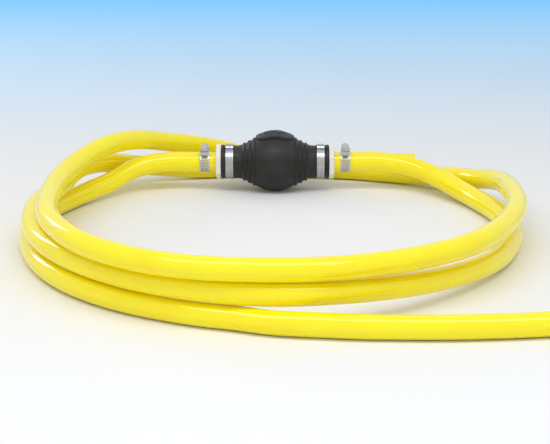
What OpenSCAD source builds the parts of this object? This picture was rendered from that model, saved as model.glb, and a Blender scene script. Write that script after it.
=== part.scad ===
// Siphon bulb pump: a rubber squeeze bulb between two check valves, a short
// suction hose and a long discharge hose wound into a coil on the floor.
// Millimetres. The liquid flows along +X, +Z is up, and the origin is the
// lowest point of the bulb's belly.

/* [Bulb] */
// Length of the bulb from neck end to neck end
bulb_len = 100; // [92:1:108]
// Outside radius of the belly
belly_r = 27; // [23:0.5:32]
// Outside radius of the two necks
neck_r = 15; // [14.5:0.25:18]
// Length of each straight neck
neck_len = 16; // [14:1:20]
// Thickness of the rubber wall
bulb_wall = 3.5; // [2.5:0.25:4]
// Depth of the flat that the soft belly rests on
rest_flat = 0.4; // [0.2:0.1:0.8]
// Height of the moulded grip ribs
rib_h = 1.2; // [0.6:0.1:2]
// Number of grip ribs on each shoulder
rib_count = 3; // [1:1:4]
// Distance from one grip rib to the next
rib_pitch = 4.6; // [4:0.2:6]

/* [Squeeze pad] */
// Length of the thumb pad along the bulb
pad_len = 36; // [28:1:40]
// Width of the thumb pad across the bulb
pad_w = 22; // [16:1:26]
// Thickness of the thumb pad
pad_t = 2; // [1.5:0.25:3]
// Length of the flow arrow on the pad
arrow_len = 21; // [14:1:24]
// Width of the flow arrow
arrow_w = 12; // [8:1:14]
// Height of the flow arrow
arrow_h = 0.6; // [0.3:0.1:1]

/* [Valves] */
// Length of the spigot
spigot_len = 22; // [20:0.5:26]
// Thickness of the six-sided flange
flange_t = 4; // [3:0.5:6]
// Width of the flange across its corners
flange_w = 33; // [31:0.5:38]
// Radius of the check ball
ball_r = 5; // [4.5:0.1:5.2]
// How far the check ball lifts off its seat
ball_lift = 3; // [1.5:0.25:3.5]
// Thickness of the rubber seat ring
seat_t = 2; // [1.5:0.25:2.5]
// Thickness of the pressed-in retainer and seat insert
insert_t = 3; // [2:0.25:3.5]
// Wall of the spigot round those inserts
spigot_wall = 2.4; // [1.8:0.1:2.6]
// Wall of the barb round its bore
barb_wall = 1.2; // [0.8:0.1:1.6]
// Mean radius of the valve spring
spring_r = 3.5; // [3:0.1:3.8]
// Radius of the spring wire
spring_wire_r = 0.35; // [0.25:0.05:0.45]
// Number of spring curls
spring_curls = 4; // [3:1:6]

/* [Hose] */
// Outside radius of the hose
hose_r = 9; // [8:0.25:9]
// Bore radius of the hose
hose_bore_r = 6; // [5:0.25:6.5]
// Length of the barb that the hose is pushed on
barb_len = 22; // [18:1:24]
// Height of the barb's teeth
barb_tooth_h = 0.9; // [0.5:0.1:1.2]
// Number of teeth on the barb
barb_teeth = 4; // [2:1:5]
// Length of the straight cut end of each hose
hose_end_len = 18; // [18:1:24]
// Rings of the hose for each full turn of the coil
rings_per_turn = 24; // [24:12:72]
// Sides of the hose
hose_sides = 8; // [8:2:16]

/* [Hose clamps] */
// Width of the worm-drive clamp band
band_w = 9; // [7:0.5:10]
// Thickness of the clamp bands
band_t = 0.7; // [0.5:0.1:1]
// Radius of the clamp screw's worm
worm_r = 2.6; // [2.2:0.1:3]
// Length of the screw housing along the screw
housing_len = 13; // [11:0.5:16]
// Wall of the screw housing
housing_wall = 1; // [0.8:0.1:1.4]
// Width across corners of the clamp screw's head
screw_head_w = 8; // [7:0.5:9]
// Width of the ear clamps on the bulb's necks
ear_clamp_w = 7; // [6:0.5:9]
// Width of the pinched ear
ear_w = 6; // [5:0.5:8]
// Height of the pinched ear above its band
ear_h = 3; // [2:0.5:4]

/* [Clearances] */
// Gap between a moving piece and its guide
run_gap = 0.05; // [0.02:0.01:0.1]
// Gap between a check ball and its guide bore
ball_gap = 0.3; // [0.2:0.05:0.4]
// Gap between seated pieces
seat_gap = 0.02; // [0.01:0.01:0.05]
// Gap between the rubber pad and the bulb
soft_gap = 0.3; // [0.2:0.05:0.4]

/* [Hidden] */
$fn = 64;
eps = 0.01;

// Stations along the axis, all measured from the bulb's middle
axis_h = belly_r - rest_flat;
flange_x = bulb_len/2;
barb_x = flange_x + flange_t;
barb_tip_x = barb_x + barb_len;
cuff_past = 1;
cuff_end_x = barb_tip_x + cuff_past;
spigot_x = flange_x - spigot_len;

// The bulb's profile: a cosine belly, filled out a little, between two straight necks
neck_x = bulb_len/2 - neck_len;
neck_bore_r = neck_r - bulb_wall;
fullness = 0.7;
profile_steps = 20;
function swell(x) = abs(x) >= neck_x ? 0 : pow((1 + cos(180*x/neck_x))/2, fullness);
function outer_r(x) = neck_r + (belly_r - neck_r)*swell(x);
function inner_r(x) = outer_r(x) - bulb_wall;
profile_x = [for (i = [-profile_steps:profile_steps]) neck_x*i/profile_steps];
rib_w = 1.8;
rib_from_pad = 1.5;

// Inside of the valves, measured from each valve's seat face along the flow
spigot_r = neck_bore_r - run_gap;
bore_r = ball_r + ball_gap;
seat_lip = 1;
seat_bore_r = ball_r - seat_lip;
ball_x = sqrt(ball_r*ball_r - seat_bore_r*seat_bore_r) + seat_gap;
rings_per_curl = 8;
spring_sides = 6;
chord_r = spring_r*cos(180/rings_per_curl);
wire_reach = ball_r + spring_wire_r + seat_gap;
spring_x = ball_x + sqrt(wire_reach*wire_reach - chord_r*chord_r);
spring_len = 2*ball_lift + 2*spring_wire_r*(spring_curls + 1);
stop_x = spring_x + spring_len + spring_wire_r + seat_gap;
flute_r = 2;
flute_out = 0.4;
flute_at = bore_r + flute_out;
flutes = 4;
insert_r = spigot_r - spigot_wall;
seat_ledge = 1.7;
seat_ring_r = bore_r + seat_ledge;
insert_lip = 0.5;
inlet_seat_x = -(spigot_x + insert_t + stop_x);
outlet_seat_x = spigot_x + insert_t + seat_t;
spring_stop_r = spring_r - 3*spring_wire_r;
hub_len = 3;
ports = 6;
port_r = 1.5;
port_at = (spring_r + spring_wire_r + insert_r)/2;

// Barb, clamps and hose places
barb_root_r = hose_bore_r - barb_tooth_h;
barb_bore_r = barb_root_r - barb_wall;
barb_plain = 2;
tooth_ramp = 0.7;
tooth_land = 0.85;
clamp_x = barb_x + barb_len/2;
band_r = hose_r + run_gap;
band_out_r = band_r + band_t;
worm_z = band_out_r + seat_gap + worm_r;
worm_bore_r = worm_r + run_gap;
housing_skirt = 3.5;
head_gap = 0.3;
head_t = 4;
collar_t = 1;
slot_w = 1.2;
ear_r = neck_r + run_gap;
ear_x = bulb_len/2 - neck_len/2;
ear_turn = 20;

// The coil: [angle, radius, height] around the coil's middle
coil_y = -188;
suction_turns = [[125, 220, 23], [134, 221, 13], [148, 217, 9], [163, 211, 9],
    [180, 203, 9], [190, 199.5, 9], [205, 199, 9], [225, 201, 9],
    [247, 205.5, 9], [262, 212, 9]];
first_turn = [[55, 221, 23], [46, 222, 15.5], [38, 216.5, 11], [28, 210.5, 9.1],
    [14, 203, 9], [0, 196, 9], [-9, 191.5, 9], [-18, 189, 10], [-42, 188.5, 15.5],
    [-62, 194.5, 20.5], [-78, 202.5, 24.2], [-92, 210.5, 26.9], [-112, 206.5, 27.8],
    [-135, 199.5, 27.5], [-160, 197.5, 27.5], [-190, 202, 28], [-206, 208, 29.5],
    [-217, 223, 32], [-227, 237, 29], [-240, 246, 17], [-252, 242, 9.8],
    [-270, 236, 9], [-296, 240, 9]];
second_turn = [[-314, 244, 14.5], [-328, 232, 25.5], [-342, 212, 33], [-360, 199, 36.5],
    [-380, 193, 38], [-402, 196, 40], [-425, 200, 41.5], [-452, 212, 45.3],
    [-472, 214, 45.7], [-492, 206.5, 46], [-510, 195.5, 46], [-537, 185, 45],
    [-556, 190, 46], [-572, 200, 49], [-584, 211, 51.5], [-595, 226, 48],
    [-604, 242, 39], [-613, 252, 29.5], [-620, 256, 21]];
discharge_turns = concat(first_turn, second_turn);

// The free stretches: the suction tail in front and the discharge tail behind
suction_tail = [[0, -409, 9], [29, -413.5, 9], [57, -417, 9], [90, -418.5, 9],
    [125, -418.5, 9], [160, -416, 9], [195, -411.5, 9], [230, -405.5, 9],
    [260, -400, 9], [290, -394, 9]];
discharge_tail = [[-16, 68, 12.5], [14, 68, 9.1], [48, 68, 9], [80, 68, 9], [117, 68, 9]];

// Smooth value of column k at angle a, through the stations s
function slope(s, i, k) = let (p = max(i - 1, 0), q = min(i + 1, len(s) - 1))
    (s[q][k] - s[p][k])/(s[q][0] - s[p][0]);
function span_of(s, a) = let (way = sign(s[1][0] - s[0][0]))
    max(0, min(len(s) - 2, len([for (p = s) if ((a - p[0])*way >= 0) 1]) - 1));
function blend_at(s, a, k) = let (i = span_of(s, a), h = s[i + 1][0] - s[i][0],
    t = (a - s[i][0])/h, u = 1 - t)
    (1 + 2*t)*u*u*s[i][k] + t*u*u*h*slope(s, i, k)
    + t*t*(3 - 2*t)*s[i + 1][k] - t*t*u*h*slope(s, i + 1, k);

// Centre points of a coil, one for each ring
function coil_points(s, rings) = let (a0 = s[0][0], a1 = s[len(s) - 1][0],
    n = round(abs(a1 - a0)*rings/360))
    [for (i = [0:n]) let (a = a0 + (a1 - a0)*i/n, r = blend_at(s, a, 1))
        [r*cos(a), coil_y + r*sin(a), max(hose_r, blend_at(s, a, 2))]];

// The straight start of a hose, one diameter beyond its barb
function hose_start(side) = [[side*cuff_end_x, 0, axis_h],
    [side*(cuff_end_x + 2*hose_r), 0, axis_h]];
suction_route = concat(hose_start(-1), coil_points(suction_turns, rings_per_turn), suction_tail);
discharge_route = concat(hose_start(1), coil_points(discharge_turns, rings_per_turn), discharge_tail);
tail_rings = len(suction_tail);
function last(list) = list[len(list) - 1];

// Least gap between the hoses, sampled at four points for every ring space. The points
// near_points along one hose are too close together to count as a gap.
near_points = 12;
function fine(p) = [for (i = [0:len(p) - 2]) for (t = [0:0.25:0.75]) p[i]*(1 - t) + p[i + 1]*t];
function least_gap(p, q, skip) = min([for (i = [0:len(p) - 1])
    for (j = [max(0, i + skip):1:len(q) - 1]) norm(p[i] - q[j])]) - 2*hose_r;
discharge_self_gap = least_gap(fine(discharge_route), fine(discharge_route), near_points);
hose_to_hose_gap = least_gap(fine(suction_route), fine(discharge_route), -len(fine(suction_route)));
echo(discharge_self_gap = discharge_self_gap, hose_to_hose_gap = hose_to_hose_gap);

// A cylinder along +X from x0 to x1, on the pump's axis
module rod(x0, x1, r, sides = $fn) {
    translate([x0, 0, axis_h]) rotate([0, 90, 0]) cylinder(h = x1 - x0, r = r, $fn = sides);
}

// A ring along +X from x0 to x1, on the pump's axis
module ring(x0, x1, r_out, r_in) {
    difference() {
        rod(x0, x1, r_out);
        rod(x0 - eps, x1 + eps, r_in);
    }
}

// A flat shape pushed along +X from x0 to x1, seen from the outlet with +Z up
module along_axis(x0, x1) {
    translate([x0, 0, axis_h]) rotate([90, 0, 90]) linear_extrude(x1 - x0) children();
}

// A solid turned about the pump's axis, from [x, radius] points
module turned(points) {
    translate([0, 0, axis_h]) rotate([0, 90, 0]) rotate_extrude()
        polygon([for (p = points) [p[1], p[0]]]);
}

// Mirrors what lies on the suction side over to the discharge side
module on_side(side) {
    mirror([side > 0 ? 1 : 0, 0, 0]) children();
}

// A tube swept along the points first to last of a route, solid when r_in is 0
module swept_tube(route, first, last, r_out, r_in, sides) {
    n = last - first + 1;
    ends = len(route) - 1;
    levels = r_in > 0 ? [r_out, r_in] : [r_out];
    points = [for (r = levels) for (i = [first:last])
        let (d = route[min(i + 1, ends)] - route[max(i - 1, 0)], s = cross([0, 0, 1], d),
            side = s/norm(s), up = cross(d/norm(d), side))
        for (k = [0:sides - 1]) let (a = 360*k/sides) route[i] + r*(cos(a)*side + sin(a)*up)];
    function at(level, i, k) = (level*n + i)*sides + k % sides;
    walls = [for (w = [0:len(levels) - 1]) for (i = [0:n - 2]) for (k = [0:sides - 1])
        let (a = at(w, i, k), b = at(w, i, k + 1), c = at(w, i + 1, k + 1), d = at(w, i + 1, k))
        each w == 0 ? [[a, c, b], [a, d, c]] : [[a, b, c], [a, c, d]]];
    hollow_ends = [for (k = [0:sides - 1]) each [
        [at(0, 0, k), at(0, 0, k + 1), at(1, 0, k + 1)],
        [at(0, 0, k), at(1, 0, k + 1), at(1, 0, k)],
        [at(0, n - 1, k), at(1, n - 1, k + 1), at(0, n - 1, k + 1)],
        [at(0, n - 1, k), at(1, n - 1, k), at(1, n - 1, k + 1)]]];
    solid_ends = [for (k = [1:sides - 2]) each [
        [at(0, 0, 0), at(0, 0, k), at(0, 0, k + 1)],
        [at(0, n - 1, 0), at(0, n - 1, k + 1), at(0, n - 1, k)]]];
    polyhedron(points, concat(walls, r_in > 0 ? hollow_ends : solid_ends), convexity = 10);
}

// Rubber bulb with its two necks and the grip ribs on its shoulders
module bulb() {
    color("#232427") difference() {
        union() {
            turned(concat([[-bulb_len/2, 0], [-bulb_len/2, neck_r]],
                [for (x = profile_x) [x, outer_r(x)]],
                [[bulb_len/2, neck_r], [bulb_len/2, 0]]));
            for (side = [-1, 1], i = [0:rib_count - 1])
                let (x = side*(pad_len/2 + rib_from_pad + i*rib_pitch))
                    if (abs(x) < neck_x) rod(x - rib_w/2, x + rib_w/2, outer_r(x) + rib_h);
        }
        turned(concat([[-bulb_len/2 - eps, 0], [-bulb_len/2 - eps, neck_bore_r]],
            [for (x = profile_x) [x, inner_r(x)]],
            [[bulb_len/2 + eps, neck_bore_r], [bulb_len/2 + eps, 0]]));
        translate([-bulb_len, -belly_r, -belly_r]) cube([2*bulb_len, 2*belly_r, belly_r]);
    }
}

// The space between two copies of the belly, low and high millimetres above it
module belly_shell(low, high) {
    difference() {
        turned(concat([[-neck_x, 0]],
            [for (x = profile_x) [x, outer_r(x) + high]], [[neck_x, 0]]));
        turned(concat([[-neck_x - eps, 0]],
            [for (x = profile_x) [x, outer_r(x) + low]], [[neck_x + eps, 0]]));
    }
}

// Moulded thumb panel on top of the bulb, with its flow arrow
module squeeze_pad() {
    head_len = arrow_len*0.43;
    shaft_w = arrow_w/3;
    tip = arrow_len/2;
    color("#1c1d20") union() {
        intersection() {
            belly_shell(soft_gap, soft_gap + pad_t);
            translate([0, 0, axis_h]) linear_extrude(2*belly_r) union() {
                square([pad_len - pad_w, pad_w], center = true);
                for (x = [-1, 1]) translate([x*(pad_len - pad_w)/2, 0]) circle(r = pad_w/2);
            }
        }
        intersection() {
            belly_shell(soft_gap + pad_t/2, soft_gap + pad_t + arrow_h);
            translate([0, 0, axis_h]) linear_extrude(2*belly_r)
                polygon([[-tip, -shaft_w/2], [tip - head_len, -shaft_w/2], [tip - head_len, -arrow_w/2],
                    [tip, 0], [tip - head_len, arrow_w/2], [tip - head_len, shaft_w/2], [-tip, shaft_w/2]]);
        }
    }
}

// Outside of a valve body, drawn on the suction side with its barb towards -X
module valve_shell() {
    tooth = (barb_len - barb_plain)/barb_teeth;
    rod(-flange_x - flange_t, -flange_x, flange_w/2, 6);
    rod(-flange_x - eps, -spigot_x, spigot_r);
    rod(-barb_tip_x, -barb_x + eps, barb_root_r);
    for (i = [0:barb_teeth - 1]) let (x = -barb_tip_x + i*tooth)
        turned([[x, 0], [x, barb_root_r], [x + tooth*tooth_ramp, hose_bore_r - run_gap],
            [x + tooth*tooth_land, hose_bore_r - run_gap], [x + tooth*tooth_land, 0]]);
}

// The ball's guide bore with flutes beside it for the liquid
module fluted_bore(x0, x1) {
    along_axis(x0, x1) union() {
        circle(r = bore_r);
        for (i = [0:flutes - 1]) rotate(45 + 360*i/flutes) translate([flute_at, 0])
            circle(r = flute_r);
    }
}

// Inlet valve: its seat faces the bulb, and a retainer closes the chamber
module inlet_valve_body() {
    color("#d9d6cc") difference() {
        valve_shell();
        rod(-barb_tip_x - eps, inlet_seat_x, barb_bore_r);
        rod(inlet_seat_x - seat_t, inlet_seat_x + eps, seat_ring_r + seat_gap);
        fluted_bore(inlet_seat_x, -spigot_x + eps);
        rod(-spigot_x - insert_t, -spigot_x + eps, insert_r + seat_gap);
    }
}

// Outlet valve: the ball enters from the bulb's side and the seat insert holds it
module outlet_valve_body() {
    color("#d9d6cc") difference() {
        on_side(1) valve_shell();
        rod(spigot_x - eps, outlet_seat_x, insert_r + seat_gap);
        fluted_bore(spigot_x, outlet_seat_x + stop_x);
        rod(outlet_seat_x, outlet_seat_x + stop_x + insert_t + eps, spring_stop_r);
        rod(outlet_seat_x + stop_x + insert_t, barb_tip_x + eps, barb_bore_r);
    }
}

// Rubber ring that the ball seals on, ending at the seat face x
module seat_ring(x, r) {
    color("#2b2b2e") ring(x - seat_t, x, r, seat_bore_r);
}
module inlet_seat_ring() { seat_ring(inlet_seat_x, seat_ring_r); }
module outlet_seat_ring() { seat_ring(outlet_seat_x, insert_r); }

// Stainless check ball
module check_ball(seat) {
    color("#c9ccd0") translate([seat + ball_x, 0, axis_h]) sphere(r = ball_r);
}
module inlet_ball() { check_ball(inlet_seat_x); }
module outlet_ball() { check_ball(outlet_seat_x); }

// Stainless valve spring: open curls between the ball and its stop
module valve_spring(seat) {
    steps = spring_curls*rings_per_curl;
    turns = [for (i = [0:steps]) let (a = 360*i/rings_per_curl)
        [seat + spring_x + spring_len*i/steps, spring_r*cos(a), axis_h + spring_r*sin(a)]];
    color("#b9bcc0") swept_tube(turns, 0, steps, spring_wire_r, 0, spring_sides);
}
module inlet_spring() { valve_spring(inlet_seat_x); }
module outlet_spring() { valve_spring(outlet_seat_x); }

// Pressed-in disc with ports, which holds the inlet spring
module inlet_spring_retainer() {
    color("#e9e6dc") difference() {
        union() {
            rod(-spigot_x - insert_t, -spigot_x, insert_r);
            rod(-spigot_x - insert_t - hub_len, -spigot_x, spring_stop_r);
        }
        for (i = [0:ports - 1]) translate([0, 0, axis_h]) rotate([360*i/ports, 0, 0])
            translate([-spigot_x - 2*insert_t, 0, port_at])
                rotate([0, 90, 0]) cylinder(h = 3*insert_t, r = port_r);
    }
}

// Pressed-in ring that holds the outlet seat ring
module outlet_seat_insert() {
    color("#e9e6dc") ring(spigot_x, spigot_x + insert_t, insert_r, seat_bore_r + insert_lip);
}

// Stainless ear clamp round a neck of the bulb, pinched up into one hollow ear
module ear_clamp(side) {
    inner_w = ear_w - 2*band_t;
    color("#c4c7cb") along_axis(side*ear_x - ear_clamp_w/2, side*ear_x + ear_clamp_w/2) difference() {
        union() {
            circle(r = ear_r + band_t);
            rotate(ear_turn) translate([-ear_w/2, 0]) square([ear_w, ear_r + ear_h]);
        }
        circle(r = ear_r);
        rotate(ear_turn) translate([-inner_w/2, 0]) square([inner_w, ear_r + ear_h - band_t]);
    }
}
module inlet_ear_clamp() { ear_clamp(-1); }
module outlet_ear_clamp() { ear_clamp(1); }

// Stainless worm-drive clamp: band, screw housing and slotted hexagon screw
module clamp_band(side) {
    color("#c9ccd0") ring(side*clamp_x - band_w/2, side*clamp_x + band_w/2, band_out_r, band_r);
}
module clamp_housing(side) {
    wide = 2*(worm_bore_r + housing_wall);
    color("#bfc2c6") difference() {
        union() {
            translate([side*clamp_x - wide/2, -housing_len/2, axis_h + band_out_r - housing_skirt])
                cube([wide, housing_len, housing_skirt + worm_r]);
            translate([side*clamp_x, -housing_len/2, axis_h + worm_z]) rotate([-90, 0, 0])
                cylinder(h = housing_len, r = wide/2);
        }
        translate([side*clamp_x, -housing_len, axis_h + worm_z]) rotate([-90, 0, 0])
            cylinder(h = 2*housing_len, r = worm_bore_r);
        rod(side*clamp_x - band_w, side*clamp_x + band_w, band_out_r + seat_gap);
    }
}
module clamp_screw(side) {
    head_z = housing_len/2 + head_gap;
    color("#d3d6da") translate([side*clamp_x, 0, axis_h + worm_z]) rotate([90, 0, 0]) difference() {
        union() {
            translate([0, 0, -housing_len/2]) cylinder(h = housing_len + 2*head_gap, r = worm_r);
            translate([0, 0, head_z]) cylinder(h = collar_t, r = screw_head_w/2);
            translate([0, 0, head_z]) cylinder(h = head_t, r = screw_head_w/2, $fn = 6);
        }
        translate([-screw_head_w, -slot_w/2, head_z + head_t - slot_w])
            cube([2*screw_head_w, slot_w, 2*slot_w]);
    }
}
module suction_clamp_band() { clamp_band(-1); }
module suction_clamp_housing() { clamp_housing(-1); }
module suction_clamp_screw() { clamp_screw(-1); }
module discharge_clamp_band() { clamp_band(1); }
module discharge_clamp_housing() { clamp_housing(1); }
module discharge_clamp_screw() { clamp_screw(1); }

// Clear yellow vinyl hose, in lengths that meet face to face
module hose_cuff(side) {
    x = side > 0 ? barb_x + seat_gap : -cuff_end_x;
    color("#f2dd2e") ring(x, x + cuff_end_x - barb_x - seat_gap, hose_r, hose_bore_r);
}
module hose_part(route, first, last) {
    color("#f2dd2e") swept_tube(route, first, last, hose_r, hose_bore_r, hose_sides);
}
module hose_end(route) {
    way = last(route) - route[len(route) - 2];
    color("#f2dd2e") translate(last(route)) rotate([0, 90, atan2(way[1], way[0])]) difference() {
        cylinder(h = hose_end_len, r = hose_r);
        translate([0, 0, -eps]) cylinder(h = hose_end_len + 2*eps, r = hose_bore_r);
    }
}
module suction_hose_cuff() { hose_cuff(-1); }
module suction_hose_coil() { hose_part(suction_route, 0, len(suction_route) - tail_rings); }
module suction_hose_tail() {
    hose_part(suction_route, len(suction_route) - tail_rings, len(suction_route) - 1);
}
module suction_hose_end() { hose_end(suction_route); }
module discharge_hose_cuff() { hose_cuff(1); }
module discharge_hose_coil() { hose_part(discharge_route, 0, len(discharge_route) - 1); }
module discharge_hose_end() { hose_end(discharge_route); }

bulb();
squeeze_pad();
inlet_valve_body();
outlet_valve_body();
inlet_seat_ring();
outlet_seat_ring();
inlet_ball();
outlet_ball();
inlet_spring();
outlet_spring();
inlet_spring_retainer();
outlet_seat_insert();
inlet_ear_clamp();
outlet_ear_clamp();
suction_clamp_band();
suction_clamp_housing();
suction_clamp_screw();
discharge_clamp_band();
discharge_clamp_housing();
discharge_clamp_screw();
suction_hose_cuff();
suction_hose_coil();
suction_hose_tail();
suction_hose_end();
discharge_hose_cuff();
discharge_hose_coil();
discharge_hose_end();
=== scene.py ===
import math

import bmesh
import bpy
from mathutils import Matrix, Vector


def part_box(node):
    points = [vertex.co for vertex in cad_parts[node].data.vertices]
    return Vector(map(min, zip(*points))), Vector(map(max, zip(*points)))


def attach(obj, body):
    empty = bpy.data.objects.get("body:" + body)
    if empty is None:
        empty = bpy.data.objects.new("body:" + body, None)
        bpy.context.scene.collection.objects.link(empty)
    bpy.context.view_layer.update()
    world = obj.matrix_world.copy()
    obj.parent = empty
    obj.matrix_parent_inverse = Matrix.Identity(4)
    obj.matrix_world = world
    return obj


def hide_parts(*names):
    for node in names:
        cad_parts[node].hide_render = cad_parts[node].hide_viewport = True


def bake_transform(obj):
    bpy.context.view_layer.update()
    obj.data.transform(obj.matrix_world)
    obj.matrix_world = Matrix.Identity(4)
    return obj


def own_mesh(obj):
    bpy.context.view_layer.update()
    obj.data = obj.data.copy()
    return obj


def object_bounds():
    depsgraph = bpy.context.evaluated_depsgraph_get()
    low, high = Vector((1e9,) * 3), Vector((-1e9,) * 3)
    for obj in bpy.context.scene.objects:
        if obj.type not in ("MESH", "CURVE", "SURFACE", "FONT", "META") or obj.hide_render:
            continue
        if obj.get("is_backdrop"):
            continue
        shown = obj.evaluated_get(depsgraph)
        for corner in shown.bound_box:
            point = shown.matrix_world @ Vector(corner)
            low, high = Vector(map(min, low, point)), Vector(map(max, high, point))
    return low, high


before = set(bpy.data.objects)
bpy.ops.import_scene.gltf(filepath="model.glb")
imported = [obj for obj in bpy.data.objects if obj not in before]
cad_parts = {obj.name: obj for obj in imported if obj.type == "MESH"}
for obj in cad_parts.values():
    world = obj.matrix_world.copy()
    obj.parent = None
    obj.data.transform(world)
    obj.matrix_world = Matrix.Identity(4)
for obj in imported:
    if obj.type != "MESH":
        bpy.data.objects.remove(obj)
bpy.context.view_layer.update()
scene = bpy.context.scene

# ---------------------------------------------------------------- Camera
# A long lens a little above the coil, which looks along the floor at its near side.
camera_data = bpy.data.cameras.new("camera")
camera_data.lens = 116.84
camera_data.sensor_width = 36
camera = bpy.data.objects.new("camera", camera_data)
camera.location = (0, -1.607, 0.419)
camera.rotation_euler = (math.radians(74.34), 0, 0)
scene.collection.objects.link(camera)
scene.camera = camera

# ---------------------------------------------------------------- Hoses
# Two lengths of extruded yellow vinyl tube, 18 mm outside with a 12 mm bore, cut square at
# their free ends and pushed over the valves' barbs. They lie wound in a loose coil, three
# passes deep in front.
HOSE_R = 0.009
BORE_R = 0.006
HOSE_SIDES = 32
CUT_ROUND = 0.0003
RINGS_PER_KNOT = 6
KNOTS_PER_TURN = 48

# The coil: (angle, radius, height) around the coil's middle
COIL_Y = -0.188
SUCTION_TURNS = [(125, 0.220, 0.023), (134, 0.221, 0.013), (148, 0.217, 0.009),
                 (163, 0.211, 0.009), (180, 0.203, 0.009), (190, 0.1995, 0.009),
                 (205, 0.199, 0.009), (225, 0.201, 0.009), (247, 0.2055, 0.009),
                 (262, 0.212, 0.009)]
FIRST_TURN = [(55, 0.221, 0.023), (46, 0.222, 0.0155), (38, 0.2165, 0.011), (28, 0.2105, 0.0091),
              (14, 0.203, 0.009), (0, 0.196, 0.009), (-9, 0.1915, 0.009), (-18, 0.189, 0.010),
              (-42, 0.1885, 0.0155), (-62, 0.1945, 0.0205), (-78, 0.2025, 0.0242),
              (-92, 0.2105, 0.0269), (-112, 0.2065, 0.0278), (-135, 0.1995, 0.0275),
              (-160, 0.1975, 0.0275), (-190, 0.202, 0.028), (-206, 0.208, 0.0295),
              (-217, 0.223, 0.032), (-227, 0.237, 0.029), (-240, 0.246, 0.017),
              (-252, 0.242, 0.0098), (-270, 0.236, 0.009), (-296, 0.240, 0.009)]
SECOND_TURN = [(-314, 0.244, 0.0145), (-328, 0.232, 0.0255), (-342, 0.212, 0.033),
               (-360, 0.199, 0.0365), (-380, 0.193, 0.038), (-402, 0.196, 0.040),
               (-425, 0.200, 0.0415), (-452, 0.212, 0.0453), (-472, 0.214, 0.0457),
               (-492, 0.2065, 0.046), (-510, 0.1955, 0.046), (-537, 0.185, 0.045),
               (-556, 0.190, 0.046), (-572, 0.200, 0.049), (-584, 0.211, 0.0515),
               (-595, 0.226, 0.048), (-604, 0.242, 0.039), (-613, 0.252, 0.0295),
               (-620, 0.256, 0.021)]

# The free stretches, and the straight starts on the barbs
SUCTION_TAIL = [(0, -0.409, 0.009), (0.029, -0.4135, 0.009), (0.057, -0.417, 0.009),
                (0.090, -0.4185, 0.009), (0.125, -0.4185, 0.009), (0.160, -0.416, 0.009),
                (0.195, -0.4115, 0.009), (0.230, -0.4055, 0.009), (0.260, -0.400, 0.009),
                (0.290, -0.394, 0.009), (0.30765, -0.39047, 0.009)]
DISCHARGE_TAIL = [(-0.016, 0.068, 0.0125), (0.014, 0.068, 0.0091), (0.048, 0.068, 0.009),
                  (0.080, 0.068, 0.009), (0.117, 0.068, 0.009), (0.135, 0.068, 0.009)]
AXIS_H = 0.0266
BARB_X = 0.054
HOSE_STARTS = [BARB_X, 0.066, 0.077, 0.095]


def smooth_value(stations, angle, column):
    """Value of a column at an angle, on a smooth curve through the stations."""
    last = len(stations) - 1
    way = 1 if stations[1][0] > stations[0][0] else -1
    i = max(0, min(last - 1, sum((angle - s[0]) * way >= 0 for s in stations) - 1))

    def slope(k):
        a, b = stations[max(k - 1, 0)], stations[min(k + 1, last)]
        return (b[column] - a[column]) / (b[0] - a[0])

    span = stations[i + 1][0] - stations[i][0]
    t = (angle - stations[i][0]) / span
    u = 1 - t
    return ((1 + 2 * t) * u * u * stations[i][column] + t * u * u * span * slope(i)
            + t * t * (3 - 2 * t) * stations[i + 1][column] - t * t * u * span * slope(i + 1))


def coil_points(stations):
    """Points of the hose's middle line round the coil, never lower than it can lie."""
    first, last = stations[0][0], stations[-1][0]
    count = round(abs(last - first) * KNOTS_PER_TURN / 360)
    points = []
    for k in range(count + 1):
        angle = first + (last - first) * k / count
        radius = smooth_value(stations, angle, 1)
        points.append((radius * math.cos(math.radians(angle)),
                       COIL_Y + radius * math.sin(math.radians(angle)),
                       max(HOSE_R, smooth_value(stations, angle, 2))))
    return points


def smooth_line(name, points, rings, thickness=0.0, sides=4, capped=False):
    """Mesh of a smooth curve through the points: a line, or a tube where it has a thickness."""
    data = bpy.data.curves.new(name, "CURVE")
    data.dimensions = "3D"
    data.resolution_u = rings
    data.bevel_depth = thickness
    data.bevel_resolution = (sides - 4) // 2
    data.use_fill_caps = capped
    spline = data.splines.new("BEZIER")
    spline.bezier_points.add(len(points) - 1)
    for knot, point in zip(spline.bezier_points, points):
        knot.co = point
        knot.handle_left_type = knot.handle_right_type = "AUTO"
    holder = bpy.data.objects.new(name, data)
    scene.collection.objects.link(holder)
    graph = bpy.context.evaluated_depsgraph_get()
    mesh = bpy.data.meshes.new_from_object(holder.evaluated_get(graph))
    bpy.data.objects.remove(holder)
    bpy.data.curves.remove(data)
    return mesh


def piece(name, mesh, body, material, nodes=()):
    """A finished piece: linked, riding on its body if it has one, and standing for its nodes."""
    mesh.name = name
    made = bpy.data.objects.new(name, mesh)
    scene.collection.objects.link(made)
    mesh.materials.clear()
    mesh.materials.append(material)
    mesh.shade_smooth()
    if body:
        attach(made, body)
    if nodes:
        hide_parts(*nodes)
    return made


def round_edges(made, width, angle=40):
    """Rounds a piece's sharp edges, and keeps its flat faces flat to the eye."""
    edge = made.modifiers.new("rounded edges", "BEVEL")
    edge.width = width
    edge.segments = 2
    edge.limit_method = "ANGLE"
    edge.angle_limit = math.radians(angle)
    edge.harden_normals = True


def new_material(name, color, roughness, metallic=0.0):
    """A node material, with its tree and its Principled shader."""
    made = bpy.data.materials.new(name)
    made.use_nodes = True
    shader = made.node_tree.nodes["Principled BSDF"]
    shader.inputs["Base Color"].default_value = (*color, 1)
    shader.inputs["Roughness"].default_value = roughness
    shader.inputs["Metallic"].default_value = metallic
    return made, made.node_tree, shader


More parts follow.
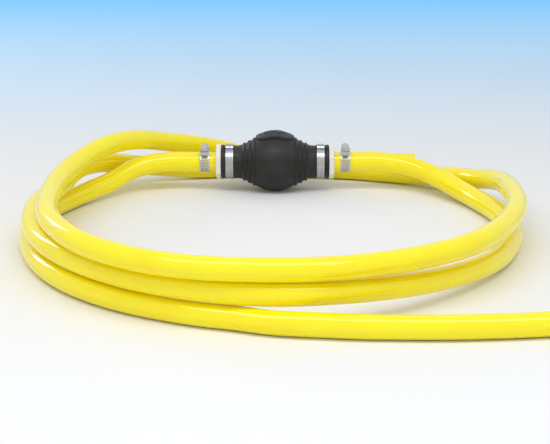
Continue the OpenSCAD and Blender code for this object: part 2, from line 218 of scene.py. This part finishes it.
def add_node(tree, kind, settings=None, **inputs):
    """A shader node with its settings, and its inputs set to values or linked to sockets."""
    made = tree.nodes.new("ShaderNode" + kind)
    for key, value in (settings or {}).items():
        setattr(made, key, value)
    for key, value in inputs.items():
        socket = made.inputs[key.replace("_", " ")]
        if isinstance(value, bpy.types.NodeSocket):
            tree.links.new(value, socket)
        else:
            socket.default_value = value
    return made


def object_noise(tree, scale, detail=3.0, stretch=(1, 1, 1)):
    """Noise fixed to the piece, finer along the axes with a larger stretch."""
    where = add_node(tree, "TexCoord").outputs["Object"]
    placed = add_node(tree, "Mapping", Vector=where, Scale=stretch).outputs["Vector"]
    return add_node(tree, "TexNoise", Vector=placed, Scale=scale, Detail=detail).outputs["Fac"]


def ramp(tree, fac, low, high, start=0.3, end=0.7):
    """A blend from one colour or grey to another as fac rises."""
    made = add_node(tree, "ValToRGB", Fac=fac)
    for stop, position, value in zip(made.color_ramp.elements, (start, end), (low, high)):
        stop.position = position
        stop.color = (*value, 1) if isinstance(value, tuple) else (value, value, value, 1)
    return made.outputs["Color"]


def link_bump(tree, shader, *layers):
    """Bump from layers of (height, depth in metres), one on top of the other."""
    normal = None
    for height, depth in layers:
        made = add_node(tree, "Bump", Height=height, Distance=depth)
        if normal:
            tree.links.new(normal, made.inputs["Normal"])
        normal = made.outputs["Normal"]
    tree.links.new(normal, shader.inputs["Normal"])


vinyl, tree, shader = new_material("yellow_vinyl", (1.0, 0.83, 0.007), 0.09)
shader.inputs["IOR"].default_value = 1.5
shader.inputs["Subsurface Weight"].default_value = 0.3
shader.inputs["Subsurface Radius"].default_value = (1.0, 0.8, 0.05)
shader.inputs["Subsurface Scale"].default_value = 0.004
shader.inputs["Sheen Weight"].default_value = 0.2
shader.inputs["Sheen Roughness"].default_value = 0.25
shader.inputs["Sheen Tint"].default_value = (1, 0.96, 0.5, 1)
cloud = object_noise(tree, 30.0)
tree.links.new(ramp(tree, cloud, (1.0, 0.80, 0.005), (1.0, 0.86, 0.009)),
               shader.inputs["Base Color"])
tree.links.new(ramp(tree, object_noise(tree, 90.0), 0.06, 0.12), shader.inputs["Roughness"])
# Faint lines along the hose from the extruder's die: the map runs along it, then round it
hose_map = add_node(tree, "UVMap", {"uv_map": "UVMap"}).outputs["UV"]
die_map = add_node(tree, "Mapping", Vector=hose_map, Scale=(6, 14, 1)).outputs["Vector"]
die_lines = add_node(tree, "TexNoise", Vector=die_map, Scale=1.0, Detail=2.0).outputs["Fac"]
link_bump(tree, shader, (object_noise(tree, 22.0, 1.0), 0.0003), (die_lines, 0.00012))


def make_hose(name, points, nodes):
    """A hose along these points: what dips under the floor is lifted onto it."""
    path = [v.co.copy() for v in smooth_line(name, points, RINGS_PER_KNOT).vertices]
    mesh = smooth_line(name, points, RINGS_PER_KNOT, HOSE_R, HOSE_SIDES)
    lifts = [max(0, HOSE_R - centre.z) for centre in path]
    for i, vert in enumerate(mesh.vertices):
        vert.co.z += lifts[i // HOSE_SIDES]
    for centre, lift in zip(path, lifts):
        centre.z += lift
    hose = piece(name, mesh, "root", vinyl, nodes)
    wall = hose.modifiers.new("wall", "SOLIDIFY")
    wall.thickness = HOSE_R - BORE_R
    wall.offset = -1
    round_edges(hose, CUT_ROUND, 60)
    length = sum((a - b).length for a, b in zip(path, path[1:]))
    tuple(points[0])
    [tuple(centre) for centre in path]


suction_route = ([(-x, 0, AXIS_H) for x in HOSE_STARTS] + coil_points(SUCTION_TURNS)
                 + SUCTION_TAIL)
discharge_route = ([(x, 0, AXIS_H) for x in HOSE_STARTS]
                   + coil_points(FIRST_TURN + SECOND_TURN) + DISCHARGE_TAIL)
make_hose("suction_hose", suction_route,
          ("suction_hose_cuff", "suction_hose_coil", "suction_hose_tail", "suction_hose_end"))
make_hose("discharge_hose", discharge_route,
          ("discharge_hose_cuff", "discharge_hose_coil", "discharge_hose_end"))

# ---------------------------------------------------------------- Squeeze bulb
# Black nitrile rubber, moulded in two halves: a springy belly, grip ribs on its shoulders,
# and two necks with a rolled lip. It lies on its underside.
BULB_END = 0.050
NECK_X = 0.034
NECK_R = 0.015
BELLY_R = 0.027
BULB_WALL = 0.0035
FULLNESS = 0.7
LIP_ROUND = 0.0008
BULB_STEPS = 96
# Ridges round both ends: (distance from the middle, half width, height)
GRIP_RIBS = [(0.0195, 0.0013, 0.0012), (0.0241, 0.0013, 0.0012), (0.0287, 0.0013, 0.0012)]
CLAMP_SWELLS = [(0.0377, 0.0008, 0.00025), (0.0463, 0.0008, 0.00025)]
ROLLED_LIP = [(0.0483, 0.0017, 0.0008)]
RIDGES = GRIP_RIBS + CLAMP_SWELLS + ROLLED_LIP
PARTING_W = 0.0003
PARTING_H = 0.0002
PARTING_END = 0.0365
MERGE = 1e-6


def belly_radius(x):
    """Outside radius of the bulb without its ridges, at a distance from its middle."""
    if abs(x) >= NECK_X:
        return NECK_R
    return NECK_R + (BELLY_R - NECK_R) * ((1 + math.cos(math.pi * x / NECK_X)) / 2) ** FULLNESS


def skin_radius(x):
    """Outside radius of the bulb, with its ridges and the rounded end of its lip."""
    radius = belly_radius(x)
    for middle, reach, height in RIDGES:
        away = abs(abs(x) - middle) / reach
        if away < 1:
            radius += height * math.cos(away * math.pi / 2) ** 0.8
    corner = max(0, abs(x) - (BULB_END - LIP_ROUND))
    return radius - LIP_ROUND + math.sqrt(max(0, LIP_ROUND ** 2 - corner ** 2))


def turned(outline, steps):
    """A closed ring of (x, radius) points turned about the pump's axis."""
    bm = bmesh.new()
    verts = [bm.verts.new((x, 0, AXIS_H + radius)) for x, radius in outline]
    edges = [bm.edges.new(pair) for pair in zip(verts, verts[1:] + verts[:1])]
    bmesh.ops.spin(bm, geom=verts + edges, cent=(0, 0, AXIS_H), axis=(1, 0, 0),
                   angle=math.tau, steps=steps, use_merge=True)
    return bm


def close_mesh(bm, name):
    """Merges the seams, turns the faces outwards, and stores where edges stick out for wear."""
    bmesh.ops.remove_doubles(bm, verts=bm.verts, dist=MERGE)
    bmesh.ops.recalc_face_normals(bm, faces=bm.faces)
    bm.normal_update()
    layer = bm.verts.layers.float.new("edge")
    for v in bm.verts:
        away = [(v.co - e.other_vert(v).co).normalized().dot(v.normal) for e in v.link_edges]
        v[layer] = max(0.0, sum(away) / max(1, len(away)))
    mesh = bpy.data.meshes.new(name)
    bm.to_mesh(mesh)
    bm.free()
    return mesh


def edge_wear(tree, low, high, start=0.08, end=0.35):
    """A colour or grey that changes where the surface sticks out."""
    edge = add_node(tree, "Attribute", {"attribute_name": "edge"}).outputs["Fac"]
    return ramp(tree, edge, low, high, start, end)


def mix_colors(tree, fac, a, b):
    """A mix of two colours, from a where fac is 0 to b where it is 1."""
    made = add_node(tree, "Mix", {"data_type": "RGBA"})
    for socket, value in ((made.inputs[0], fac), (made.inputs[6], a), (made.inputs[7], b)):
        if isinstance(value, bpy.types.NodeSocket):
            tree.links.new(value, socket)
        else:
            socket.default_value = value
    return made.outputs[2]


def rubber_material(name, dark, dusty, rough, grain):
    """Black rubber: pebbled by the mould, duller where dust settles, greyer on its ridges."""
    made, tree, shader = new_material(name, dark, rough)
    shader.inputs["IOR"].default_value = 1.52
    shader.inputs["Specular IOR Level"].default_value = 0.38
    bloom = ramp(tree, object_noise(tree, 60.0, 5.0), dark, dusty, 0.42, 0.72)
    worn = edge_wear(tree, 0.0, 0.5)
    tree.links.new(mix_colors(tree, worn, bloom, (0.055, 0.055, 0.058, 1)),
                   shader.inputs["Base Color"])
    tree.links.new(ramp(tree, object_noise(tree, 130.0, 4.0), rough - 0.08, rough + 0.12),
                   shader.inputs["Roughness"])
    link_bump(tree, shader, (object_noise(tree, 45.0, 2.0), 0.00025),
              (object_noise(tree, grain, 2.0), 0.00008))
    return made


bulb_rubber = rubber_material("bulb_rubber", (0.009, 0.009, 0.010), (0.020, 0.020, 0.022),
                              0.46, 1500.0)
# The outline has a point every millimetre, and more on the ridges and the rounded lip
bulb_x = {i / 1000 for i in range(-50, 51)}
bulb_x |= {round(side * (middle + reach * k / 8), 6)
           for side in (-1, 1) for middle, reach, _ in RIDGES for k in range(-8, 9)}
bulb_x |= {round(side * (BULB_END - LIP_ROUND * (1 - math.sin(k * math.pi / 12))), 6)
           for side in (-1, 1) for k in range(7)}
outline = [(x, skin_radius(x)) for x in sorted(bulb_x)]
outline += [(i / 500, belly_radius(i / 500) - BULB_WALL) for i in range(25, -26, -1)]
bm = turned(outline, BULB_STEPS)
for side in (-1, 1):
    bmesh.ops.bisect_plane(bm, geom=bm.verts[:] + bm.edges[:] + bm.faces[:],
                           plane_co=(0, 0, AXIS_H + side * PARTING_W), plane_no=(0, 0, 1))
for v in bm.verts:
    on_line = abs(v.co.z - AXIS_H) < PARTING_W / 2 and abs(v.co.x) < PARTING_END
    if on_line and abs(v.co.y) > belly_radius(v.co.x) - BULB_WALL / 2:
        v.co.y += math.copysign(PARTING_H, v.co.y)
    v.co.z = max(0, v.co.z)
bulb = piece("bulb", close_mesh(bm, "bulb"), None, bulb_rubber, ["bulb"])
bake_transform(bulb)

# ---------------------------------------------------------------- Squeeze pad
# Softer black rubber, moulded onto the bulb's top as a thumb rest: a rounded rim round a
# shallow dish, with a raised arrow for the flow and rows of small grip dots.
PAD_END = 0.007
PAD_R = 0.011
PAD_POINTS = 200
SIDE_CUTS = 55
UNDERSIDE = (0.008, 0.004, 0.0)
PAD_LIFT = 0.0001
ARROW_TIP = 0.0105
ARROW_NECK = 0.0015
ARROW_HALF = 0.006
SHAFT_HALF = 0.002
ARROW_H = 0.0008
FLANK_OUT = 0.0003
FLANK_W = 0.0005
DOT_PITCH = 0.0021
DOT_ROW = DOT_PITCH * 0.866
DOT_R = 0.0006
DOT_H = 0.00035
DOT_TO_ARROW = 0.0012
DOT_TO_RIM = 0.001
DISH_H = 0.0019
DISH_R = 0.0086
DISH_RINGS = 34
# The rim's section: (distance from the pad's middle line, height above the belly)
PAD_RIM = [(0.01104, 0.0006), (0.01102, 0.0012), (0.01092, 0.0017), (0.0107, 0.0021),
           (0.0104, 0.0023), (0.0101, 0.00238), (0.0098, 0.00238), (0.0095, 0.0023),
           (0.0092, 0.0022), (0.0089, 0.002)]


def pad_middle(x):
    """The point of the pad's middle line that is nearest to x."""
    return max(-PAD_END, min(PAD_END, x))


def arrow_depth(x, y):
    """How far a point of the pad is inside the arrow's outline, below zero outside it."""
    shaft = min(x + ARROW_TIP, ARROW_NECK - x + SHAFT_HALF, SHAFT_HALF - abs(y))
    slope = math.hypot(ARROW_HALF, ARROW_TIP - ARROW_NECK)
    side = (ARROW_HALF * (ARROW_TIP - x) - (ARROW_TIP - ARROW_NECK) * abs(y)) / slope
    return max(shaft, min(x - ARROW_NECK, side))


def dish_height(x, y):
    """Height of the dish's floor above the belly: plain, or on the arrow or a grip dot."""
    depth = arrow_depth(x, y)
    rise = max(0, min(1, (depth + FLANK_OUT) / FLANK_W))
    height = ARROW_H * rise * rise * (3 - 2 * rise)
    row = round(y / DOT_ROW)
    shift = DOT_PITCH / 2 if row % 2 else 0
    dot_y = row * DOT_ROW
    dot_x = round((x - shift) / DOT_PITCH) * DOT_PITCH + shift
    room = DISH_R - math.hypot(dot_x - pad_middle(dot_x), dot_y)
    if arrow_depth(dot_x, dot_y) < -DOT_TO_ARROW and room > DOT_TO_RIM:
        away = math.hypot(x - dot_x, y - dot_y) / DOT_R
        height = max(height, DOT_H * max(0, 1 - away * away))
    return DISH_H + height


def on_belly(x, y, height):
    """The point above (x, y) at this height over the belly's skin."""
    return x, y, AXIS_H + math.sqrt((belly_radius(x) + height) ** 2 - y * y)


def next_ring(bm, edges, place):
    """Extrudes a closed ring of edges, puts its new vertices in place, and returns it."""
    grown = bmesh.ops.extrude_edge_only(bm, edges=edges)["geom"]
    for v in grown:
        if isinstance(v, bmesh.types.BMVert):
            v.co = place(v.co)
    return [e for e in grown if isinstance(e, bmesh.types.BMEdge) and e.is_boundary]


def pad_place(distance, height):
    """Places a point at this distance from the pad's middle line, on the dish if height is None."""
    def place(co):
        middle = Vector((pad_middle(co.x), 0))
        flat = middle + (co.xy - middle).normalized() * distance
        return on_belly(*flat, dish_height(*flat) if height is None else height)
    return place


bm = bmesh.new()
bmesh.ops.create_circle(bm, segments=PAD_POINTS, radius=PAD_R,
                        matrix=Matrix.Rotation(math.pi / PAD_POINTS, 4, "Z"))
for v in bm.verts:
    v.co.x += math.copysign(PAD_END, v.co.x)
long_edges = [e for e in bm.edges if e.calc_length() > PAD_END]
bmesh.ops.subdivide_edges(bm, edges=long_edges, cuts=SIDE_CUTS)
for v in bm.verts:
    v.co = pad_place(PAD_R, PAD_LIFT)(v.co)
rim = bm.edges[:]
edges = rim
for distance in UNDERSIDE:
    edges = next_ring(bm, edges, pad_place(distance, PAD_LIFT))
edges = rim
for distance, height in PAD_RIM:
    edges = next_ring(bm, edges, pad_place(distance, height))
for k in range(DISH_RINGS + 1):
    edges = next_ring(bm, edges, pad_place(DISH_R * (1 - k / DISH_RINGS), None))
pad_rubber = rubber_material("pad_rubber", (0.018, 0.018, 0.019), (0.036, 0.036, 0.038),
                             0.38, 2200.0)
pad = piece("squeeze_pad", close_mesh(bm, "squeeze_pad"), None, pad_rubber,
            ["squeeze_pad"])
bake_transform(pad)

# ---------------------------------------------------------------- Valve bodies
# Off-white acetal, injection moulded: a spigot in the bulb's neck, a six-sided flange for a
# spanner, and a toothed barb in the hose. A low collar and short ribs stiffen the flange.
FLANGE_FACE = 0.054
COLLAR = [(0.0536, 0.0098), (0.0547, 0.0098), (0.0549, 0.0100), (0.0549, 0.0108),
          (0.0547, 0.0110), (0.0536, 0.0110)]
FLANGE_RIBS = 12
RIB_SIZE = (0.0009, 0.0011, 0.0028)
RIB_AT = 0.0121
RIB_LIFT = 0.0001
COLLAR_STEPS = 64
BODY_ROUND = 0.0002
TRIM_ROUND = 0.00015


def joined_copy(node):
    """A CAD node's shape, with the loose triangles of its flat faces joined."""
    bm = bmesh.new()
    bm.from_mesh(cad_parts[node].data)
    bmesh.ops.remove_doubles(bm, verts=bm.verts, dist=MERGE)
    bmesh.ops.dissolve_limit(bm, angle_limit=math.radians(1), verts=bm.verts, edges=bm.edges)
    return bm


def bevel_sharp(bm, width, segments=2, angle=30):
    """Bevels the edges where two faces meet at more than this angle."""
    sharp = [e for e in bm.edges if e.is_manifold and e.calc_face_angle() > math.radians(angle)]
    bmesh.ops.bevel(bm, geom=sharp, offset=width, offset_type="OFFSET", segments=segments,
                    profile=0.5, affect="EDGES", clamp_overlap=True, material=-1)


acetal, tree, shader = new_material("valve_plastic", (0.80, 0.78, 0.72), 0.34)
shader.inputs["IOR"].default_value = 1.48
shader.inputs["Subsurface Weight"].default_value = 0.2
shader.inputs["Subsurface Radius"].default_value = (1.0, 0.9, 0.7)
shader.inputs["Subsurface Scale"].default_value = 0.001
flow_marks = ramp(tree, object_noise(tree, 70.0, 3.0, (0.4, 1, 1)), (0.77, 0.745, 0.68),
                  (0.83, 0.815, 0.765))
tree.links.new(mix_colors(tree, edge_wear(tree, 0.0, 0.5), flow_marks, (0.88, 0.87, 0.83, 1)),
               shader.inputs["Base Color"])
tree.links.new(ramp(tree, object_noise(tree, 160.0), 0.28, 0.42), shader.inputs["Roughness"])
link_bump(tree, shader, (object_noise(tree, 900.0, 2.0), 0.00002))

for name, side in (("inlet_valve_body", -1), ("outlet_valve_body", 1)):
    bm = joined_copy(name)
    bevel_sharp(bm, BODY_ROUND)
    whole = close_mesh(bm, name)
    extras = turned([(side * x, radius) for x, radius in COLLAR], COLLAR_STEPS)
    for k in range(FLANGE_RIBS):
        turn = Matrix.Rotation(math.tau * (k + 0.5) / FLANGE_RIBS, 4, "X")
        spot = Matrix.Translation((0, 0, AXIS_H)) @ turn @ Matrix.Translation(
            (side * (FLANGE_FACE + RIB_LIFT), 0, RIB_AT))
        bmesh.ops.create_cube(extras, size=1, matrix=spot @ Matrix.Diagonal((*RIB_SIZE, 1)))
    bevel_sharp(extras, TRIM_ROUND)
    extras.from_mesh(whole)
    piece(name, close_mesh(extras, name), "root", acetal, [name])

# ---------------------------------------------------------------- Valve internals
# What works inside the valves: black seat rings, bright steel balls, and the white pressed-in
# retainer and insert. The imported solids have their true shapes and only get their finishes.
seat_rubber = rubber_material("seat_rubber", (0.02, 0.02, 0.021), (0.03, 0.03, 0.032),
                              0.42, 2500.0)

ball_steel, tree, shader = new_material("ball_steel", (0.72, 0.73, 0.75), 0.08, 1.0)
tree.links.new(ramp(tree, object_noise(tree, 400.0), 0.05, 0.14), shader.inputs["Roughness"])

insert_plastic, tree, shader = new_material("insert_plastic", (0.86, 0.85, 0.80), 0.4)
tree.links.new(ramp(tree, object_noise(tree, 120.0), (0.83, 0.82, 0.77), (0.89, 0.88, 0.84)),
               shader.inputs["Base Color"])
link_bump(tree, shader, (object_noise(tree, 1200.0, 2.0), 0.00002))

for name, finish in (("inlet_seat_ring", seat_rubber), ("outlet_seat_ring", seat_rubber),
                     ("inlet_ball", ball_steel), ("outlet_ball", ball_steel),
                     ("inlet_spring_retainer", insert_plastic),
                     ("outlet_seat_insert", insert_plastic)):
    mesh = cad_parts[name].data
    if not mesh.materials:
        mesh.materials.append(finish)
    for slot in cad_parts[name].material_slots:
        slot.material = finish

# ---------------------------------------------------------------- Valve springs
# Hard-drawn stainless wire wound in four open curls with a closed coil at each end. Each
# spring stands on its stop.
SPRING_R = 0.0035
WIRE_R = 0.00035
SPRING_CURLS = 4
CURL_KNOTS = 10
WIRE_SIDES = 12
CLOSED_ENDS = 0.09

spring_steel, tree, shader = new_material("spring_steel", (0.58, 0.59, 0.61), 0.22, 1.0)
tree.links.new(ramp(tree, object_noise(tree, 600.0, 3.0), 0.16, 0.32), shader.inputs["Roughness"])
tree.links.new(ramp(tree, object_noise(tree, 200.0), (0.52, 0.53, 0.55), (0.64, 0.65, 0.67)),
               shader.inputs["Base Color"])

for name, joint in (("inlet_spring", "inlet_valve_lift"), ("outlet_spring", "outlet_valve_lift")):
    low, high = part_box(name)
    start, length = low.x + WIRE_R, high.x - low.x - 2 * WIRE_R
    knots = []
    for k in range(SPRING_CURLS * CURL_KNOTS + 1):
        way = k / (SPRING_CURLS * CURL_KNOTS)
        closing = way - CLOSED_ENDS * math.sin(math.tau * way)
        angle = math.tau * k / CURL_KNOTS
        knots.append((start + length * closing, SPRING_R * math.cos(angle),
                      AXIS_H + SPRING_R * math.sin(angle)))
    mesh = smooth_line(name, knots, 4, WIRE_R, WIRE_SIDES, capped=True)
    spring = piece(name, mesh, "root", spring_steel, [name])
    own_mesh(spring)

# ---------------------------------------------------------------- Ear clamps
# Stainless strip bent round each neck of the bulb, its end hooked over itself, and pulled
# tight by pincers that pinch the hollow ear in at its foot.
EAR_CLAMP_X = 0.042
EAR_CLAMP_W = 0.007
EAR_CLAMP_R = 0.01505
STRIP_T = 0.0007
STRIP_GAP = 0.00005
STRIP_ROUND = 0.00012
LOOP_STEPS = 90
OVERLAP_FROM = 24
OVERLAP_TO = 96
OVERLAP_STEPS = 24
EAR_HALF = 0.0023
EAR_RISE = 0.00248
EAR_TURN = math.radians(20)
EAR_DIP = 0.92
BRUSH_DEPTH = 0.00001
# The ear's inside, from its left foot over its top: (share of half width, share of rise)
EAR_SIDE = [(0.86, 0.12), (0.74, 0.28), (0.70, 0.45), (0.78, 0.62), (0.92, 0.78), (0.96, 0.9),
            (0.86, 0.98), (0.66, 1.0), (0.44, 0.97), (0.2, 0.93)]


def steel_material(name, color, rough, brushed):
    """Sheet steel: brushed across the stretched axes, brighter and smoother on its edges."""
    made, tree, shader = new_material(name, color, rough, 1.0)
    lines = object_noise(tree, 40.0, 4.0, brushed)
    tone = ramp(tree, lines, tuple(0.82 * c for c in color), color)
    tree.links.new(mix_colors(tree, edge_wear(tree, 0.0, 0.8), tone, (0.86, 0.86, 0.87, 1)),
                   shader.inputs["Base Color"])
    tree.links.new(ramp(tree, lines, rough - 0.07, rough + 0.09), shader.inputs["Roughness"])
    link_bump(tree, shader, (lines, BRUSH_DEPTH))
    return made


def bent_strip(bm, path, middle, width, closed):
    """Adds a flat strip that follows a path of (across, up) points beside the pump's axis."""
    verts = [bm.verts.new((middle - width / 2, across, AXIS_H + up)) for across, up in path]
    pairs = zip(verts, verts[1:] + verts[:1]) if closed else zip(verts, verts[1:])
    edges = [bm.edges.new(pair) for pair in pairs]
    grown = bmesh.ops.extrude_edge_only(bm, edges=edges)["geom"]
    bmesh.ops.translate(bm, vec=(width, 0, 0),
                        verts=[v for v in grown if isinstance(v, bmesh.types.BMVert)])


def turn_ear(points):
    """Turns (across, up) points round the axis to where the ear stands."""
    cosine, sine = math.cos(EAR_TURN), math.sin(EAR_TURN)
    return [(u * cosine - v * sine, u * sine + v * cosine) for u, v in points]


def arc(radius, first, last, count):
    """Points of an arc round the axis, with angles in degrees clockwise from the ear."""
    angles = [math.radians(first + (last - first) * k / count) for k in range(count + 1)]
    return [(radius * math.sin(a), radius * math.cos(a)) for a in angles]


ear_steel = steel_material("ear_clamp_steel", (0.52, 0.53, 0.55), 0.28, (22, 1, 1))
foot = math.degrees(math.asin(EAR_HALF / EAR_CLAMP_R))
foot_up = EAR_CLAMP_R * math.cos(math.radians(foot))
left = [(-EAR_HALF * u, foot_up + EAR_RISE * v) for u, v in EAR_SIDE]
right = [(-u, v) for u, v in reversed(left)]
for name, side in (("inlet_ear_clamp", -1), ("outlet_ear_clamp", 1)):
    bm = bmesh.new()
    bent_strip(bm, turn_ear(arc(EAR_CLAMP_R, foot, 360 - foot, LOOP_STEPS) + left
                            + [(0, foot_up + EAR_DIP * EAR_RISE)] + right),
               side * EAR_CLAMP_X, EAR_CLAMP_W, True)
    overlap = arc(EAR_CLAMP_R + STRIP_T + STRIP_GAP, OVERLAP_FROM, OVERLAP_TO, OVERLAP_STEPS)
    bent_strip(bm, turn_ear(overlap), side * EAR_CLAMP_X, EAR_CLAMP_W, False)
    clamp = piece(name, close_mesh(bm, name), "root", ear_steel, [name])
    strip = clamp.modifiers.new("strip", "SOLIDIFY")
    strip.thickness = STRIP_T
    strip.offset = 1
    round_edges(clamp, STRIP_ROUND)

# ---------------------------------------------------------------- Worm-drive clamps
# Stainless steel: a slotted band that runs through a pressed housing and ends in a free
# tail, and a slotted hexagon screw whose worm pulls on the band's slots.
CLAMP_X = 0.065
BAND_R = 0.00905
BAND_T = 0.0007
BAND_W = 0.009
BAND_UNITS = 26
SLOT_SHARE = 0.42
SLOT_HALF = 0.0029
SLOT_SLANT = 0.00025
BAND_ROWS = (-BAND_W / 2, -SLOT_HALF, SLOT_HALF, BAND_W / 2)
TAIL_R = BAND_R + BAND_T + STRIP_GAP
UNIT = math.tau / BAND_UNITS
# Which units have slots, all round the band and on its free tail
BAND_SLOTS = range(4, 22)
TAIL_UNITS = (3, 8)
TAIL_SLOTS = range(3, 7)
BAND_ROUND = 0.00008
FITTING_ROUND = 0.00025


def slotted_band(bm, middle, radius, first, last, slots):
    """Adds a band bent round the axis over these units, with slots in some of them."""
    columns = 2 * (last - first)
    flat = bmesh.new()
    bmesh.ops.create_grid(flat, x_segments=columns, y_segments=3, size=0.5)
    cut = []
    for f in flat.faces:
        center = f.calc_center_median()
        column = math.floor((center.x + 0.5) * columns)
        if abs(center.y) < 0.1 and column % 2 and first + column // 2 in slots:
            cut.append(f)
    bmesh.ops.delete(flat, geom=cut, context="FACES")
    for v in flat.verts:
        column = round((v.co.x + 0.5) * columns)
        row = round((v.co.y + 0.5) * 3)
        unit = first + column // 2 + (1 - SLOT_SHARE if column % 2 else 0)
        slant = SLOT_SLANT * (0, -1, 1, 0)[row] / radius
        angle = UNIT * unit + slant
        v.co = (middle + BAND_ROWS[row], radius * math.sin(angle),
                AXIS_H + radius * math.cos(angle))
    bmesh.ops.remove_doubles(flat, verts=flat.verts, dist=MERGE)
    outer = bmesh.ops.extrude_face_region(flat, geom=flat.faces[:])["geom"]
    for v in outer:
        if isinstance(v, bmesh.types.BMVert):
            out = Vector((0, v.co.y, v.co.z - AXIS_H)).normalized()
            v.co += out * BAND_T
    bmesh.ops.recalc_face_normals(flat, faces=flat.faces)
    bevel_sharp(flat, BAND_ROUND, 1, 50)
    part = bpy.data.meshes.new("band")
    flat.to_mesh(part)
    flat.free()
    bm.from_mesh(part)
    bpy.data.meshes.remove(part)


band_steel = steel_material("band_steel", (0.55, 0.56, 0.58), 0.26, (22, 1, 1))
housing_steel = steel_material("housing_steel", (0.53, 0.54, 0.56), 0.32, (1, 14, 1))
screw_steel = steel_material("screw_steel", (0.46, 0.48, 0.52), 0.28, (6, 1, 6))
for side_name, side in (("suction", -1), ("discharge", 1)):
    band_name, housing_name, screw_name = (
        f"{side_name}_clamp_{part}" for part in ("band", "housing", "screw"))
    bm = bmesh.new()
    slotted_band(bm, side * CLAMP_X, BAND_R, 0, BAND_UNITS, BAND_SLOTS)
    slotted_band(bm, side * CLAMP_X, TAIL_R, *TAIL_UNITS, TAIL_SLOTS)
    piece(band_name, close_mesh(bm, band_name), "root", band_steel, [band_name])

    bm = joined_copy(housing_name)
    bevel_sharp(bm, FITTING_ROUND)
    piece(housing_name, close_mesh(bm, housing_name), "root", housing_steel,
          [housing_name])

    bm = joined_copy(screw_name)
    bevel_sharp(bm, FITTING_ROUND)
    piece(screw_name, close_mesh(bm, screw_name), f"{side_name}_screw",
          screw_steel, [screw_name])

# ---------------------------------------------------------------- Floor, backdrop and lamps
# A white paper floor that turns pale blue far behind the coil, a long softbox overhead, a
# small one at the back left, a weak fill from the front, and an even white studio round it all.
FLOOR_HALF = 6
FLOOR_DROP = 0.0002

floor_mesh = bpy.data.meshes.new("floor")
bm = bmesh.new()
bmesh.ops.create_grid(bm, x_segments=1, y_segments=1, size=FLOOR_HALF)
bm.to_mesh(floor_mesh)
bm.free()
floor = bpy.data.objects.new("floor", floor_mesh)
floor.location.z = -FLOOR_DROP
scene.collection.objects.link(floor)
floor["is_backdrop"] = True
paper, tree, shader = new_material("paper", (0.9, 0.9, 0.9), 0.9)
shader.inputs["Specular IOR Level"].default_value = 0.1
place = add_node(tree, "TexCoord").outputs["Object"]
behind = add_node(tree, "MapRange", Value=add_node(tree, "SeparateXYZ", Vector=place).outputs["Y"],
                  From_Min=0.1, From_Max=1.2).outputs["Result"]
tree.links.new(ramp(tree, behind, (0.855, 0.86, 0.875), (0.19, 0.58, 0.92), 0.0, 1.0),
               shader.inputs["Base Color"])
# The paper glows to the camera alone: blue behind the coil, and white far out on its other sides
reach = add_node(tree, "VectorMath", {"operation": "LENGTH"})
tree.links.new(place, reach.inputs[0])
outside = add_node(tree, "MapRange", Value=reach.outputs["Value"], From_Min=0.7, From_Max=2.5,
                   To_Max=0.33).outputs["Result"]
glow_level = add_node(tree, "Mix", Factor=behind, B=0.32)
tree.links.new(outside, glow_level.inputs["A"])
seen_glow = add_node(tree, "Math", {"operation": "MULTIPLY"})
tree.links.new(glow_level.outputs[0], seen_glow.inputs[0])
tree.links.new(add_node(tree, "LightPath").outputs["Is Camera Ray"], seen_glow.inputs[1])
tree.links.new(seen_glow.outputs[0], shader.inputs["Emission Strength"])
tree.links.new(ramp(tree, behind, (1.0, 1.0, 1.0), (0.2, 0.55, 1.0), 0.0, 1.0),
               shader.inputs["Emission Color"])
floor_mesh.materials.append(paper)

# Each lamp: name, place, the point it faces, size, radiance, whether it shows in gloss
LAMPS = [("softbox", (0, -0.75, 1.3), (0, -0.75, 0), (1.9, 0.45), 3.9, True),
         ("side_box", (-1.06, 0.81, 0.6), (-0.2, -0.25, 0), (0.25, 0.42), 6.5, True),
         ("fill", (0, -2.0, 0.7), (0, -0.27, 0), (2.0, 0.8), 0.8, False)]
for name, place, faces, size, radiance, shows in LAMPS:
    lamp_data = bpy.data.lights.new(name, "AREA")
    lamp_data.shape = "RECTANGLE"
    lamp_data.size, lamp_data.size_y = size
    lamp_data.energy = radiance * math.pi * size[0] * size[1]
    lamp = bpy.data.objects.new(name, lamp_data)
    lamp.location = place
    lamp.rotation_euler = (Vector(faces) - Vector(place)).to_track_quat("-Z", "Y").to_euler()
    lamp.visible_glossy = shows
    lamp.visible_camera = False
    scene.collection.objects.link(lamp)

world = bpy.data.worlds.new("studio")
world.use_nodes = True
tree = world.node_tree
rays = add_node(tree, "LightPath")
# The studio is brighter where it is seen or mirrored than in the light that it gives
mirrored = add_node(tree, "Math", {"operation": "MAXIMUM"})
tree.links.new(rays.outputs["Is Camera Ray"], mirrored.inputs[0])
tree.links.new(rays.outputs["Is Glossy Ray"], mirrored.inputs[1])
direct = add_node(tree, "Math", {"operation": "MAXIMUM"})
tree.links.new(mirrored.outputs[0], direct.inputs[0])
tree.links.new(rays.outputs["Is Transmission Ray"], direct.inputs[1])
level = add_node(tree, "MapRange", Value=direct.outputs[0], To_Min=0.64, To_Max=0.86)
tree.nodes["Background"].inputs["Color"].default_value = (0.97, 0.985, 1, 1)
tree.links.new(level.outputs["Result"], tree.nodes["Background"].inputs["Strength"])
scene.world = world
scene.view_settings.view_transform = "Standard"

low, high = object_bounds()
